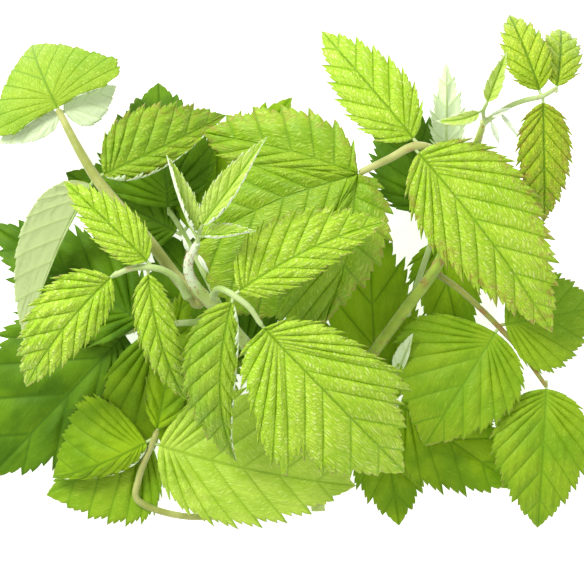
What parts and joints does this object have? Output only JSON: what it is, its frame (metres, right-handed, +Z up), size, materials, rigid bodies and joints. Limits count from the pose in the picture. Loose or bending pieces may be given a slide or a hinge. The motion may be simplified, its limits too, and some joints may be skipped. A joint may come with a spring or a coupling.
{
  "type": "raspberry branch",
  "caption": "Cut raspberry cane with a side shoot, lying down, with stalked leaves of toothed, pleated leaflets.",
  "frame": {"origin": "on the surface the branch lies on, under the middle of its bounding box", "axes": "+Z up from the surface, +X to the right and +Y away from the cut end as the camera above sees it"},
  "size_m": [0.2506, 0.2096, 0.0844],
  "materials": {
    "cane": "smooth pale green bark with short reddish prickles",
    "stalk": "pale green, finely haired",
    "leaf": "bright green, satin and wrinkled between the veins, pale and matte beneath",
    "shade_leaf": "deeper green, satin, pale and matte beneath",
    "young_leaf": "yellow-green with white down beneath"
  },
  "bodies": {
    "root": {"cane": "cane", "side_cane": "cane", "left_leaf_stalk": "stalk", "left_end_leaflet": "leaf", "left_upper_leaflet": "leaf", "left_lower_leaflet": "leaf", "front_leaf_stalk": "stalk", "front_end_leaflet": "leaf", "front_upper_leaflet": "leaf", "front_lower_leaflet": "leaf", "rear_leaf_stalk": "stalk", "rear_end_leaflet": "leaf", "rear_upper_leaflet": "leaf", "rear_lower_leaflet": "leaf", "big_leaf_stalk": "stalk", "big_end_leaflet": "leaf", "big_upper_leaflet": "leaf", "big_lower_leaflet": "leaf", "top_leaf_stalk": "stalk", "top_end_leaflet": "leaf", "top_upper_leaflet": "leaf", "top_lower_leaflet": "leaf", "bud_leaf_stalk": "stalk", "bud_upper_leaflet": "young_leaf", "bud_left_leaflet": "young_leaf", "under_leaf_stalk": "stalk", "under_end_leaflet": "shade_leaf", "pale_leaf_stalk": "stalk", "pale_end_leaflet": "leaf", "tip_leaf_stalk": "stalk", "tip_end_leaflet": "young_leaf", "tip_left_leaflet": "young_leaf", "tip_right_leaflet": "young_leaf", "low_leaf_stalk": "stalk", "low_end_leaflet": "shade_leaf", "low_left_leaflet": "shade_leaf", "low_right_leaflet": "shade_leaf", "right_leaf_stalk": "stalk", "right_end_leaflet": "shade_leaf", "right_inner_leaflet": "shade_leaf", "right_outer_leaflet": "shade_leaf", "left_shade_leaf_stalk": "stalk", "left_shade_end_leaflet": "shade_leaf", "left_shade_lower_leaflet": "shade_leaf", "left_shade_upper_leaflet": "shade_leaf", "back_shade_leaf_stalk": "stalk", "back_shade_end_leaflet": "shade_leaf", "back_shade_left_leaflet": "shade_leaf", "back_shade_right_leaflet": "shade_leaf", "front_shade_leaf_stalk": "stalk", "front_shade_end_leaflet": "shade_leaf", "front_shade_left_leaflet": "shade_leaf", "front_shade_right_leaflet": "shade_leaf", "side_shade_leaf_stalk": "stalk", "side_shade_end_leaflet": "shade_leaf", "side_shade_lower_leaflet": "shade_leaf"}
  },
  "joints": []
}
